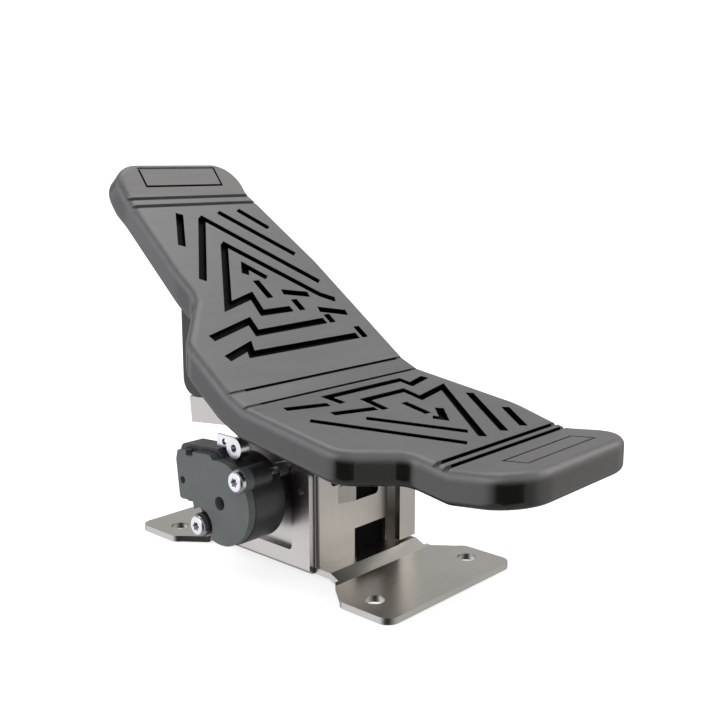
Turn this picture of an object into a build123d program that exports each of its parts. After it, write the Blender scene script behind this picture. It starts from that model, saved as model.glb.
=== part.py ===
from build123d import *
import math
import os

os.makedirs("parts", exist_ok=True)

# Rocker foot pedal with a side mounted angle sensor, in millimetres.
# Origin: centre of the four floor bolts on the underside of the base.
# +X runs across the pedal, away from the sensor. +Y runs towards the toe. +Z is up.

# Fits
running_gap = 0.05
side_play = 0.2
stop_gap = 0.3

# Floor base, folded from one sheet
sheet = 3.0
bolt_spacing_x = 65.0
bolt_spacing_y = 133.6
bolt_hole_r = 4.5
flange_overhang = 11.0
flange_end_margin = 18.2
flange_inner_y = 53.7
flange_corner_r = 6.0
neck_step = 1.0
neck_waist = 2.0
neck_y = 43.0
joggle_foot_y = 44.0
joggle_top_y = 37.5
base_half_x = 33.0
side_half_y = 28.0
side_top_z = 55.0
side_corner_r = 8.0
side_window_half_y = 17.5
side_window_bottom_z = 12.0
side_window_r = 2.0
side_hole_r = 2.0
right_lip_reach = 8.0
right_lip_width = 13.0
right_lip_bottom_z = 7.0
right_lip_top_z = 50.0
fold_r = 2.5

# Pivot
pivot_y = 1.0
pivot_z = 37.0
shaft_r = 5.0
toe_down_deg = 15.0
heel_down_deg = 10.0

# Inner bracket with the windowed front plate
inner_sheet = 2.5
inner_width = 48.8
inner_front_y = -30.0
inner_side_rear_y = 26.0
inner_top_z = 57.0
inner_fold_r = 2.0
inner_foot_width = 13.0
inner_foot_half_y = 20.0
window_left = 23.0
upper_window_width = 18.0
upper_window_bottom_z = 31.8
upper_window_top_z = 50.0
lower_window_left = 24.7
lower_window_top_z = 18.3
window_r = 2.0
slot_left = 9.0
slot_width = 8.0
slot_bottom_z = 42.0
slot_height = 4.5
tab_hinge = 13.6
tab_bottom_z = 33.0
tab_height = 8.0
tab_lift_deg = 18.0
tab_lap = 2.0
rivet_r = 2.0
rivet_head_r = 3.8
rivet_head_height = 1.4
rivet_half_y = 13.0
guard_wall = 1.2

# Bushings and washers on the shaft
bush_wall = 2.0
bush_flange = 1.5
bush_flange_r = 9.0
washer_thickness = 1.6
washer_r = 8.5
ring_thickness = 1.2
ring_r = 7.5
ring_groove_depth = 0.6
shaft_overhang = 2.0

# Stop pins across the inner bracket
stop_pin_r = 2.0
stop_pin_offset_y = 23.9
stop_pin_offset_z = 4.3
sleeve_r = 3.3

# Treadle bracket, tilted so that its toe end sits low
treadle_tilt_deg = 6.0
bracket_side_gap = 2.5
bracket_sheet = 2.5
bracket_top_h = 43.0
bracket_heel_l = -25.0
bracket_toe_l = 43.2
bracket_side_depth = 13.0
yoke_sheet = 3.0
hub_r = 11.0
ear_reach = 26.0
yoke_half_l = 24.0
yoke_bolt_margin = 7.0

# Return springs
spring_wire_r = 0.9
spring_coil_r = 5.6
spring_turns = 8
spring_offset_y = 12.3
seat_r = 7.5
seat_height = 2.0
seat_spigot_r = 4.4
seat_spigot_height = 6.0
guide_length = 9.0

# Tread shell
tread_depth = 14.5
tread_skin = 5.0
tread_wall = 3.0
tread_edge_r = 3.5
crease_r = 12.0
rear_slope_deg = 36.0
front_slope_deg = 8.8
far_pad_slope_deg = 52.0
near_pad_slope_deg = -7.0
rear_crease_y = -16.5
rear_crease_z = 90.9
front_crease_y = -26.1
front_crease_z = 86.5
rear_plane_length = 131.0
front_plane_length = 82.7
end_groove_gap = 6.0
far_pad_length = 20.0
near_pad_length = 34.5
groove_width = 4.0
groove_depth = 2.8
inset_half_x = 25.0
inset_margin = 4.5
inset_length = 12.5
inset_line = 1.2
inset_depth = 0.8
cross_groove_width = 2.6
cross_groove_depth = 1.6
crease_groove_width = 1.6
crease_groove_depth = 0.9
rib_thickness = 2.4
rib_pitch = 26.0
rib_columns = 3
rib_rows = 11
boss_r = 6.0

# Tread outline, seen from above
tread_half_x = 45.5
toe_half_x = 40.0
heel_right_x = 42.0
heel_left_x = -45.0
right_swell_x = 48.5
left_bulge_x = -69.0
bulge_toe_y = 11.0
bulge_heel_y = -80.0
waist_toe_y = 33.5
waist_heel_y = -95.0
toe_corner_r = 16.0
heel_corner_r = 20.0
gentle_r = 30.0
waist_r = 9.0
bulge_r = 12.0
square_corner_r = 1.0
toe_corner_lap = 0.5
cut_beyond = 1.0
outline_floor_z = 40.0
outline_height = 180.0

# Block between the treadle bracket and the sloping tread
block_overhang = 0.5
block_heel_y = 1.0
block_toe_y = 52.0
block_corner_r = 8.0
block_wall = 4.0

# Screws that hold the tread
screw_r = 2.5
screw_head_r = 4.5
screw_head_height = 3.0
screw_margin = 8.0
heel_screw_l = -14.0
toe_screw_l = 30.0
screw_bite = 7.0
head_space = 2.5
head_space_gap = 1.0

# Angle sensor on the left
sensor_body_r = 20.0
sensor_standoff = 9.0
sensor_body_length = 17.0
sensor_spigot_r = 13.0
sensor_bore_r = 8.5
sensor_end_wall = 4.0
cover_thickness = 4.0
cover_r = 19.5
cover_hole_r = 3.2
wing_thickness = 10.5
wing_root_r = 18.0
wing_top_heel_y = 5.4
wing_top_heel_z = 23.3
wing_top_toe_y = 31.0
wing_top_toe_z = 21.6
wing_tip_y = 32.8
wing_tip_z = 14.8
wing_low_toe_y = 30.4
wing_low_toe_z = -6.3
wing_low_heel_y = 20.9
wing_low_z = -5.3
wing_corner_r = 4.0
wing_step = 2.2
cover_notch_y = 20.8
cover_notch_z = 19.5
cover_notch_width = 5.0
cover_notch_height = 3.2
cover_port_y = 26.1
cover_port_z = 5.4
cover_port_r = 1.8
socket_lift = 5.0
socket_depth = 12.0
socket_corner_r = 1.0
socket_half_z = 7.0
socket_x_width = 6.6
contact_length = 5.5
contact_r = 0.6
contact_pitch = 3.6
sensor_screw_r = 2.0
sensor_screw_head_r = 5.0
sensor_screw_head_height = 3.0
sensor_screw_offset_y = 13.6
sensor_screw_offset_z = 13.2
spacer_r = 3.5
ear_r = 5.5
ear_gap = 2.5
rotor_gap = 0.3
rotor_length = 12.0
drive_flat_depth = 1.5
drive_length = 9.0
clip_inset = 4.0
clip_width = 5.0
clip_eye_r = 4.8
clip_eye_hole_r = 1.8
clip_eye_offset_y = -3.9
clip_tab_length = 13.4
clip_tab_height = 5.5
clip_tab_hole_y = 8.4
clip_tab_hole_r = 1.5
clip_sheet = 1.5
clip_gap = 0.1


def parallel_chain(points, distance):
    """Points of the polyline beside `points`, `distance` to its left, with mitred corners."""
    result = []
    for i, (x, y) in enumerate(points):
        before = points[max(i - 1, 0)]
        after = points[min(i + 1, len(points) - 1)]
        first = math.atan2(y - before[1], x - before[0]) if i > 0 else None
        second = math.atan2(after[1] - y, after[0] - x) if i < len(points) - 1 else None
        first = second if first is None else first
        second = first if second is None else second
        middle = (first + second) / 2 if abs(first - second) <= math.pi else (first + second) / 2 + math.pi
        reach = distance / math.cos(middle - first)
        result.append((x - reach * math.sin(middle), y + reach * math.cos(middle)))
    return result


def along(point, angle_deg, distance):
    """Point at `distance` from `point` in the direction `angle_deg`."""
    angle = math.radians(angle_deg)
    return (point[0] + distance * math.cos(angle), point[1] + distance * math.sin(angle))


def polygon(points):
    """Closed face through `points`, in the sketch that is open."""
    Polygon(*points, align=None)


def groove(points):
    """Groove of the tread pattern along `points`, in the sketch that is open."""
    left = parallel_chain(points, groove_width / 2)
    right = parallel_chain(points, -groove_width / 2)
    polygon(left + right[::-1])


def side_plane(x):
    """Plane at right angles to X, with sketch coordinates (Y, Z)."""
    return Plane.YZ.offset(x)


def write(piece, label):
    """Name the finished piece and write its file."""
    piece.part.label = label
    export_step(piece.part, f"parts/{label}.step")


# Widths that follow from the base
flange_half_x = base_half_x + flange_overhang
neck_half_x = base_half_x - neck_step
inner_left_x = -(base_half_x - sheet)
inner_right_x = inner_left_x + inner_width
right_lip_front_y = -side_half_y - right_lip_reach
right_lip_inner_x = base_half_x - right_lip_width
bracket_half_x = base_half_x + bracket_side_gap + bracket_sheet
block_half_x = bracket_half_x + block_overhang
screw_half_x = bracket_half_x - screw_margin

# Stations of the sensor along X
sensor_body_inner_x = inner_left_x - sensor_standoff
sensor_body_outer_x = sensor_body_inner_x - sensor_body_length
sensor_face_x = sensor_body_outer_x - cover_thickness
wing_inner_x = sensor_body_outer_x + wing_thickness
clip_x = sensor_body_outer_x + clip_inset

# Planes of the treadle, all through the pivot
tilt = math.radians(treadle_tilt_deg)
treadle_level = Plane(
    origin=(0, pivot_y, pivot_z), x_dir=(1, 0, 0), z_dir=(0, math.sin(tilt), math.cos(tilt))
)
treadle_side = Plane(
    origin=(0, pivot_y, pivot_z), x_dir=(0, math.cos(tilt), -math.sin(tilt)), z_dir=(1, 0, 0)
)

# Places on the sensor side, in (Y, Z)
axis_place = (pivot_y, pivot_z)
heel_screw_place = (pivot_y - sensor_screw_offset_y, pivot_z + sensor_screw_offset_z)
toe_screw_place = (pivot_y + sensor_screw_offset_y, pivot_z - sensor_screw_offset_z)

# Base: side profile of the strip, cut to its outline, with folded side plates
bolt_half_x = bolt_spacing_x / 2
bolt_half_y = bolt_spacing_y / 2
flange_end_y = bolt_half_y + flange_end_margin
platform_top_z = 2 * sheet
rivet_left_x = inner_left_x + inner_sheet + inner_foot_width / 2
rivet_right_x = inner_right_x - inner_sheet - inner_foot_width / 2
rivet_places = [
    (x, y) for x in (rivet_left_x, rivet_right_x) for y in (-rivet_half_y, rivet_half_y)
]
strip_under = [
    (-flange_end_y, 0),
    (-joggle_foot_y, 0),
    (-joggle_top_y, sheet),
    (joggle_top_y, sheet),
    (joggle_foot_y, 0),
    (flange_end_y, 0),
]

with BuildPart() as base_bracket:
    with BuildSketch(side_plane(-flange_half_x)):
        polygon(strip_under + parallel_chain(strip_under, sheet)[::-1])
    extrude(amount=2 * flange_half_x)
    with BuildSketch(Plane.XY):
        for end in (-1, 1):
            with Locations((0, end * (flange_inner_y + flange_end_y) / 2)):
                RectangleRounded(2 * flange_half_x, flange_end_y - flange_inner_y, flange_corner_r)
            ear = [
                (-neck_half_x, end * neck_y),
                (-flange_half_x + flange_corner_r / 3, end * (flange_inner_y + flange_corner_r / 3)),
                (-flange_half_x + flange_corner_r, end * (flange_inner_y + flange_corner_r)),
                (flange_half_x - flange_corner_r, end * (flange_inner_y + flange_corner_r)),
                (flange_half_x - flange_corner_r / 3, end * (flange_inner_y + flange_corner_r / 3)),
                (neck_half_x, end * neck_y),
            ]
            polygon(ear)
        Rectangle(2 * (neck_half_x - neck_waist), 2 * neck_y)
        Rectangle(2 * base_half_x, 2 * side_half_y)
    extrude(amount=platform_top_z, mode=Mode.INTERSECT)
    with BuildSketch(Plane.XY):
        with GridLocations(bolt_spacing_x, bolt_spacing_y, 2, 2):
            Circle(bolt_hole_r)
    extrude(amount=sheet, mode=Mode.SUBTRACT)
    with BuildSketch(Plane.XY.offset(sheet)):
        with Locations(*rivet_places):
            Circle(rivet_r)
    extrude(amount=sheet, mode=Mode.SUBTRACT)
    for x in (-base_half_x, base_half_x - sheet):
        with BuildSketch(side_plane(x)):
            with Locations((0, (sheet + side_top_z) / 2)):
                upright = Rectangle(2 * side_half_y, side_top_z - sheet)
            fillet(upright.vertices().group_by(Axis.Y)[-1], side_corner_r)
            with Locations((pivot_y, side_top_z)):
                RectangleRounded(
                    2 * side_window_half_y,
                    2 * (side_top_z - side_window_bottom_z),
                    side_window_r,
                    mode=Mode.SUBTRACT,
                )
            with Locations((pivot_y - stop_pin_offset_y, pivot_z + stop_pin_offset_z)):
                Circle(side_hole_r, mode=Mode.SUBTRACT)
        extrude(amount=sheet)
    with BuildSketch(Plane.XY.offset(right_lip_bottom_z)):
        lip_chain = [
            (base_half_x, -side_half_y + sheet),
            (base_half_x, right_lip_front_y),
            (right_lip_inner_x, right_lip_front_y),
        ]
        polygon(lip_chain + parallel_chain(lip_chain, -sheet)[::-1])
    lip_height = right_lip_top_z - right_lip_bottom_z
    extrude(amount=lip_height)
    lip_edges = base_bracket.edges().filter_by(
        lambda edge: abs(edge.length - lip_height) < 0.01 and edge.center().X > base_half_x - 0.1
    )
    fillet(lip_edges.sort_by(Axis.Y)[0], fold_r)
    keels = (
        base_bracket.edges()
        .filter_by(Axis.Y)
        .filter_by_position(Axis.Z, sheet - 0.1, sheet + 0.1)
        .filter_by(lambda edge: abs(abs(edge.center().X) - base_half_x) < 0.1)
    )
    fillet(keels, fold_r)
write(base_bracket, "base_bracket")

# Inner bracket: front plate with two windows, two side flanges and two feet
inner_middle_x = (inner_left_x + inner_right_x) / 2
inner_half_x = (inner_right_x - inner_left_x) / 2
bush_r = shaft_r + running_gap + bush_wall
front_height = inner_top_z - platform_top_z
lower_right_x = inner_right_x - inner_sheet
window_left_x = inner_left_x + window_left
lower_window_left_x = inner_left_x + lower_window_left
tab_hinge_x = inner_left_x + tab_hinge
tab_length = window_left_x - tab_hinge_x

with BuildPart() as inner_bracket:
    with BuildSketch(Plane.XZ.offset(-inner_front_y - inner_sheet)):
        with Locations((inner_middle_x, platform_top_z + front_height / 2)):
            Rectangle(2 * inner_half_x, front_height)
        with Locations(
            (
                window_left_x + upper_window_width / 2,
                (upper_window_bottom_z + upper_window_top_z) / 2,
            )
        ):
            RectangleRounded(
                upper_window_width,
                upper_window_top_z - upper_window_bottom_z,
                window_r,
                mode=Mode.SUBTRACT,
            )
        with Locations(
            ((lower_window_left_x + lower_right_x) / 2, (platform_top_z + lower_window_top_z) / 2)
        ):
            Rectangle(
                lower_right_x - lower_window_left_x,
                lower_window_top_z - platform_top_z,
                mode=Mode.SUBTRACT,
            )
        with Locations(
            (inner_left_x + slot_left + slot_width / 2, slot_bottom_z + slot_height / 2)
        ):
            SlotOverall(slot_width, slot_height, mode=Mode.SUBTRACT)
        with Locations((tab_hinge_x + tab_length / 2, tab_bottom_z + tab_height / 2)):
            Rectangle(tab_length, tab_height, mode=Mode.SUBTRACT)
    extrude(amount=inner_sheet)
    side_length = inner_side_rear_y - inner_front_y
    for x in (inner_left_x, inner_right_x - inner_sheet):
        with BuildSketch(side_plane(x)):
            with Locations(
                (
                    (inner_front_y + inner_side_rear_y) / 2,
                    (platform_top_z + inner_top_z) / 2,
                )
            ):
                flank = Rectangle(side_length, inner_top_z - platform_top_z)
            fillet(flank.vertices().group_by(Axis.X)[-1].sort_by(Axis.Y)[-1], side_corner_r)
            with Locations((pivot_y, pivot_z)):
                Circle(bush_r, mode=Mode.SUBTRACT)
            with Locations(
                (pivot_y - stop_pin_offset_y, pivot_z + stop_pin_offset_z),
                (pivot_y + stop_pin_offset_y, pivot_z + stop_pin_offset_z),
            ):
                Circle(stop_pin_r, mode=Mode.SUBTRACT)
            if x == inner_left_x:
                with Locations(heel_screw_place, toe_screw_place):
                    Circle(sensor_screw_r, mode=Mode.SUBTRACT)
        extrude(amount=inner_sheet)
    foot_reach = inner_sheet + inner_foot_width
    with BuildSketch(Plane.XY.offset(platform_top_z)):
        with Locations((inner_left_x + foot_reach / 2, 0), (inner_right_x - foot_reach / 2, 0)):
            Rectangle(foot_reach, 2 * inner_foot_half_y)
        with Locations(*rivet_places):
            Circle(rivet_r, mode=Mode.SUBTRACT)
    extrude(amount=inner_sheet)
    corner_edges = (
        inner_bracket.edges()
        .filter_by(Axis.Z)
        .filter_by_position(Axis.Y, inner_front_y - 0.1, inner_front_y + 0.1)
    )
    fillet([corner_edges.sort_by(Axis.X)[0], corner_edges.sort_by(Axis.X)[-1]], inner_fold_r)
    tab_lift = math.radians(tab_lift_deg)
    tab_plane = Plane(
        origin=(tab_hinge_x, inner_front_y, tab_bottom_z),
        x_dir=(math.cos(tab_lift), -math.sin(tab_lift), 0),
        z_dir=(-math.sin(tab_lift), -math.cos(tab_lift), 0),
    )
    with BuildSketch(tab_plane):
        with Locations(((tab_length - tab_lap) / 2, tab_height / 2)):
            Rectangle(tab_length + tab_lap, tab_height)
    extrude(amount=-inner_sheet / 2)
write(inner_bracket, "inner_bracket")

# Black guard that closes the windows from behind
with BuildPart() as inner_guard:
    with BuildSketch(Plane.XZ.offset(-inner_front_y - inner_sheet - guard_wall)):
        with Locations((inner_middle_x, (platform_top_z + inner_top_z) / 2)):
            Rectangle(2 * (inner_half_x - inner_sheet), inner_top_z - platform_top_z)
    extrude(amount=guard_wall)
write(inner_guard, "inner_guard")

# Rivets through the feet and the platform, and spring seats between them
rivet_head_levels = (sheet - rivet_head_height, platform_top_z + inner_sheet)
with BuildPart() as foot_rivets:
    for level in rivet_head_levels:
        with BuildSketch(Plane.XY.offset(level)):
            with Locations(*rivet_places):
                Circle(rivet_head_r)
        extrude(amount=rivet_head_height)
    with BuildSketch(Plane.XY.offset(sheet)):
        with Locations(*rivet_places):
            Circle(rivet_r)
    extrude(amount=sheet + inner_sheet)
write(foot_rivets, "foot_rivets")

# Bushings pressed into the inner bracket, flanges inwards
flank_inner_left_x = inner_left_x + inner_sheet
flank_inner_right_x = inner_right_x - inner_sheet


def make_bushing(label, outer_x, inward):
    """Flanged bushing whose plain end is at `outer_x`; `inward` is the sign of X towards the yoke."""
    with BuildPart() as bushing:
        with BuildSketch(side_plane(outer_x)):
            with Locations((pivot_y, pivot_z)):
                Circle(bush_r)
        extrude(amount=inward * inner_sheet)
        with BuildSketch(side_plane(outer_x + inward * inner_sheet)):
            with Locations((pivot_y, pivot_z)):
                Circle(bush_flange_r)
        extrude(amount=inward * bush_flange)
        with BuildSketch(side_plane(outer_x)):
            with Locations((pivot_y, pivot_z)):
                Circle(shaft_r + running_gap)
        extrude(amount=inward * (inner_sheet + bush_flange), mode=Mode.SUBTRACT)
    write(bushing, label)


make_bushing("bushing_left", inner_left_x, 1)
make_bushing("bushing_right", inner_right_x, -1)

# Stop pins with rubber sleeves, between the flanges of the inner bracket
stop_places = [
    (pivot_y - stop_pin_offset_y, pivot_z + stop_pin_offset_z),
    (pivot_y + stop_pin_offset_y, pivot_z + stop_pin_offset_z),
]
with BuildPart() as stop_pins:
    with BuildSketch(side_plane(inner_left_x)):
        with Locations(*stop_places):
            Circle(stop_pin_r)
    extrude(amount=inner_right_x - inner_left_x)
write(stop_pins, "stop_pins")

with BuildPart() as stop_sleeves:
    with BuildSketch(side_plane(flank_inner_left_x)):
        with Locations(*stop_places):
            Circle(sleeve_r)
            Circle(stop_pin_r, mode=Mode.SUBTRACT)
    extrude(amount=flank_inner_right_x - flank_inner_left_x)
write(stop_sleeves, "stop_sleeves")

# Yoke: two fan shaped ears under a web, which the stop pins catch at each end of the travel
yoke_left_x = flank_inner_left_x + bush_flange + side_play + washer_thickness
yoke_right_x = flank_inner_right_x - bush_flange - side_play - washer_thickness
yoke_top_h = bracket_top_h - bracket_sheet
stop_distance = math.hypot(stop_pin_offset_y, stop_pin_offset_z)
stop_rise_deg = math.degrees(math.atan2(stop_pin_offset_z, stop_pin_offset_y))
stop_half_deg = math.degrees(math.asin((sleeve_r + stop_gap) / stop_distance))
toe_edge_deg = stop_rise_deg + stop_half_deg + toe_down_deg + treadle_tilt_deg
heel_edge_deg = 180 - stop_rise_deg - stop_half_deg - heel_down_deg + treadle_tilt_deg
ear_outline = [
    along((0, 0), toe_edge_deg, hub_r / 2),
    along((0, 0), toe_edge_deg, ear_reach),
    (yoke_half_l, yoke_top_h),
    (-yoke_half_l, yoke_top_h),
    along((0, 0), heel_edge_deg, ear_reach),
    along((0, 0), heel_edge_deg, hub_r / 2),
]
yoke_middle_x = (yoke_left_x + yoke_right_x) / 2
yoke_bolt_l = yoke_half_l - yoke_bolt_margin

with BuildPart() as pivot_yoke:
    for x in (yoke_left_x, yoke_right_x - yoke_sheet):
        with BuildSketch(treadle_side.offset(x)):
            polygon(ear_outline)
            Circle(hub_r)
            Circle(shaft_r, mode=Mode.SUBTRACT)
        extrude(amount=yoke_sheet)
    with BuildSketch(treadle_level.offset(yoke_top_h - yoke_sheet)):
        with Locations((yoke_middle_x, 0)):
            Rectangle(yoke_right_x - yoke_left_x, 2 * yoke_half_l)
    extrude(amount=yoke_sheet)
    with BuildSketch(treadle_level.offset(yoke_top_h - yoke_sheet)):
        with Locations((yoke_middle_x, -yoke_bolt_l), (yoke_middle_x, yoke_bolt_l)):
            Circle(screw_r)
    extrude(amount=yoke_sheet, mode=Mode.SUBTRACT)
write(pivot_yoke, "pivot_yoke")

# Treadle bracket: a shallow tilted channel that carries the tread
bracket_middle_l = (bracket_heel_l + bracket_toe_l) / 2
bracket_length = bracket_toe_l - bracket_heel_l
tread_screw_places = [
    (x, l) for x in (-screw_half_x, screw_half_x) for l in (heel_screw_l, toe_screw_l)
]

with BuildPart() as treadle_bracket:
    with BuildSketch(treadle_level.offset(yoke_top_h)):
        with Locations((0, bracket_middle_l)):
            Rectangle(2 * bracket_half_x, bracket_length)
    extrude(amount=bracket_sheet)
    for x in (-bracket_half_x, bracket_half_x - bracket_sheet):
        with BuildSketch(treadle_side.offset(x)):
            with Locations((bracket_middle_l, bracket_top_h - bracket_side_depth / 2)):
                Rectangle(bracket_length, bracket_side_depth)
        extrude(amount=bracket_sheet)
    fillet(
        treadle_bracket.edges()
        .filter_by(lambda edge: abs(edge.length - bracket_length) < 0.1)
        .group_by(Axis.Z)[-1]
        .filter_by(lambda edge: abs(abs(edge.center().X) - bracket_half_x) < 0.1),
        fold_r / 2,
    )
    with BuildSketch(treadle_level.offset(yoke_top_h)):
        with Locations(*tread_screw_places):
            Circle(screw_r)
        with Locations((yoke_middle_x, -yoke_bolt_l), (yoke_middle_x, yoke_bolt_l)):
            Circle(screw_r)
    extrude(amount=bracket_sheet, mode=Mode.SUBTRACT)
write(treadle_bracket, "treadle_bracket")

# Bolts that clamp the yoke to the bracket, heads on top
with BuildPart() as yoke_bolts:
    for l in (-yoke_bolt_l, yoke_bolt_l):
        with BuildSketch(treadle_level.offset(yoke_top_h - yoke_sheet)):
            with Locations((yoke_middle_x, l)):
                Circle(screw_r)
        extrude(amount=yoke_sheet + bracket_sheet)
        with BuildSketch(treadle_level.offset(bracket_top_h)):
            with Locations((yoke_middle_x, l)):
                Circle(screw_head_r)
        extrude(amount=screw_head_height / 2)
write(yoke_bolts, "yoke_bolts")

# Shaft with a flat at the sensor end and a ring groove at the other
rotor_inner_x = sensor_body_outer_x + sensor_end_wall + rotor_gap + rotor_length
shaft_left_x = rotor_inner_x - drive_length
ring_x = inner_right_x + side_play
shaft_right_x = ring_x + ring_thickness + shaft_overhang
drive_flat_z = pivot_z + shaft_r - drive_flat_depth

with BuildPart() as pivot_shaft:
    with BuildSketch(side_plane(shaft_left_x)):
        with Locations((pivot_y, pivot_z)):
            Circle(shaft_r)
    extrude(amount=shaft_right_x - shaft_left_x)
    with BuildSketch(side_plane(shaft_left_x)):
        with Locations((pivot_y, drive_flat_z + shaft_r / 2)):
            Rectangle(2 * shaft_r, shaft_r)
    extrude(amount=drive_length, mode=Mode.SUBTRACT)
    with BuildSketch(side_plane(ring_x)):
        with Locations((pivot_y, pivot_z)):
            Circle(shaft_r)
            Circle(shaft_r - ring_groove_depth, mode=Mode.SUBTRACT)
    extrude(amount=ring_thickness, mode=Mode.SUBTRACT)
    chamfer(pivot_shaft.faces().sort_by(Axis.X)[-1].edges(), ring_groove_depth)
write(pivot_shaft, "pivot_shaft")

with BuildPart() as retaining_ring:
    with BuildSketch(side_plane(ring_x)):
        with Locations((pivot_y, pivot_z)):
            Circle(ring_r)
            Circle(shaft_r - ring_groove_depth, mode=Mode.SUBTRACT)
        with Locations((pivot_y, pivot_z - ring_r)):
            Rectangle(shaft_r, 2 * ring_r - shaft_r, mode=Mode.SUBTRACT)
    extrude(amount=ring_thickness)
write(retaining_ring, "retaining_ring")

with BuildPart() as thrust_washers:
    for x in (yoke_left_x - washer_thickness, yoke_right_x):
        with BuildSketch(side_plane(x)):
            with Locations((pivot_y, pivot_z)):
                Circle(washer_r)
                Circle(shaft_r, mode=Mode.SUBTRACT)
        extrude(amount=washer_thickness)
write(thrust_washers, "thrust_washers")

# Springs: lower seats on the platform, guides under the yoke's web
spring_places = [(yoke_middle_x, pivot_y + end * spring_offset_y) for end in (-1, 1)]
web_under_h = yoke_top_h - yoke_sheet
spring_bottom_z = platform_top_z + seat_height
guide_rim_z = pivot_z + web_under_h - guide_length

with BuildPart() as spring_seats:
    with BuildSketch(Plane.XY.offset(platform_top_z)):
        with Locations(*spring_places):
            Circle(seat_r)
    extrude(amount=seat_height)
    with BuildSketch(Plane.XY.offset(spring_bottom_z)):
        with Locations(*spring_places):
            Circle(seat_spigot_r)
    extrude(amount=seat_spigot_height)
write(spring_seats, "spring_seats")

with BuildPart() as web_space:
    with BuildSketch(treadle_level.offset(web_under_h)):
        Rectangle(4 * yoke_half_l, 4 * yoke_half_l)
    extrude(amount=-2 * guide_length)

with BuildPart() as spring_guides:
    with BuildSketch(Plane.XY.offset(guide_rim_z)):
        with Locations(*spring_places):
            Circle(seat_r)
    extrude(amount=2 * guide_length)
    with BuildSketch(Plane.XY.offset(guide_rim_z - seat_spigot_height)):
        with Locations(*spring_places):
            Circle(seat_spigot_r)
    extrude(amount=seat_spigot_height)
    add(web_space.part, mode=Mode.INTERSECT)
write(spring_guides, "spring_guides")

spring_height = guide_rim_z - spring_bottom_z
spring_pitch = (spring_height - 2 * spring_wire_r - 2 * running_gap) / spring_turns
spring_start_z = spring_bottom_z + spring_wire_r + running_gap
for label, place in zip(("spring_heel", "spring_toe"), spring_places):
    with BuildPart() as spring:
        with BuildLine(Plane(origin=(place[0], place[1], spring_start_z))) as coil:
            Helix(spring_pitch, spring_pitch * spring_turns, spring_coil_r)
        with BuildSketch(Plane(origin=coil.line @ 0, z_dir=coil.line % 0)):
            Circle(spring_wire_r)
        sweep(path=coil.line)
    write(spring, label)

# Tread: top profile from heel to toe, in (Y, Z)
rear_crease = (rear_crease_y, rear_crease_z)
front_crease = (front_crease_y, front_crease_z)
far_groove = along(rear_crease, rear_slope_deg, rear_plane_length)
near_groove = along(front_crease, front_slope_deg + 180, front_plane_length)
far_pad_foot = along(far_groove, rear_slope_deg, end_groove_gap / 2)
near_pad_foot = along(near_groove, front_slope_deg + 180, end_groove_gap)
toe_end = along(far_pad_foot, far_pad_slope_deg, far_pad_length)
heel_end = along(near_pad_foot, near_pad_slope_deg + 180, near_pad_length)
heel_beyond = along(heel_end, near_pad_slope_deg + 180, tread_depth)
top_chain = [heel_beyond, near_pad_foot, front_crease, rear_crease, far_pad_foot, toe_end]
under_chain = parallel_chain(top_chain, -tread_depth)
skin_chain = parallel_chain(top_chain, -tread_skin)


def slope_plane(foot, slope_deg):
    """Plane on a sloping stretch of the tread top, sketch coordinates (X, up the slope)."""
    slope = math.radians(slope_deg)
    return Plane(
        origin=(0, foot[0], foot[1]),
        x_dir=(1, 0, 0),
        z_dir=(0, -math.sin(slope), math.cos(slope)),
    )


rear_plane = slope_plane(far_groove, rear_slope_deg)
front_plane = slope_plane(near_groove, front_slope_deg)
far_pad_plane = slope_plane(far_pad_foot, far_pad_slope_deg)
near_pad_plane = slope_plane(near_pad_foot, near_pad_slope_deg)

outline_points = [
    (toe_half_x, toe_end[0] + tread_depth),
    (toe_half_x, far_pad_foot[0]),
    (tread_half_x, far_pad_foot[0] / 2),
    (tread_half_x, rear_crease_y),
    (right_swell_x, (rear_crease_y + heel_end[0]) / 2),
    (heel_right_x, near_groove[0]),
    (heel_right_x, heel_end[0]),
    (heel_left_x, heel_end[0]),
    (heel_left_x, waist_heel_y),
    (left_bulge_x, bulge_heel_y),
    (left_bulge_x, bulge_toe_y),
    (-tread_half_x, waist_toe_y),
    (-tread_half_x, far_pad_foot[0] / 2),
    (-toe_half_x, far_pad_foot[0]),
    (-toe_half_x, toe_end[0] + tread_depth),
]
outline_radii = [
    square_corner_r,
    gentle_r,
    gentle_r,
    gentle_r,
    gentle_r,
    gentle_r,
    heel_corner_r,
    heel_corner_r,
    waist_r,
    bulge_r,
    bulge_r,
    waist_r,
    gentle_r,
    gentle_r,
    square_corner_r,
]
tread_reach_x = 2 * tread_half_x
toe_corner_reach = toe_corner_r + toe_corner_lap
near_groove_level = cross_groove_width / 2 - end_groove_gap


def tread_profile(chain, chain_below):
    """Closed side profile between two chains, its bends rounded, in the sketch that is open."""
    outline = Polygon(*chain, *chain_below[::-1], align=None)
    bends = outline.vertices().filter_by_position(Axis.X, heel_end[0], toe_end[0] - cut_beyond)
    fillet(bends, crease_r)


def cut_toe_corners(inset):
    """Round the two toe corners of the open part, square to the toe pad, `inset` inside the edge."""
    with BuildSketch(far_pad_plane) as corners:
        with Locations((0, far_pad_length)):
            Rectangle(2 * tread_reach_x, 2 * toe_corner_reach)
        with Locations((0, far_pad_length - toe_corner_reach)):
            RectangleRounded(
                2 * (toe_half_x - inset),
                2 * (toe_corner_reach - inset),
                toe_corner_r - inset,
                mode=Mode.SUBTRACT,
            )
    extrude(corners.sketch, amount=tread_depth + cut_beyond, both=True, mode=Mode.SUBTRACT)


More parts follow.
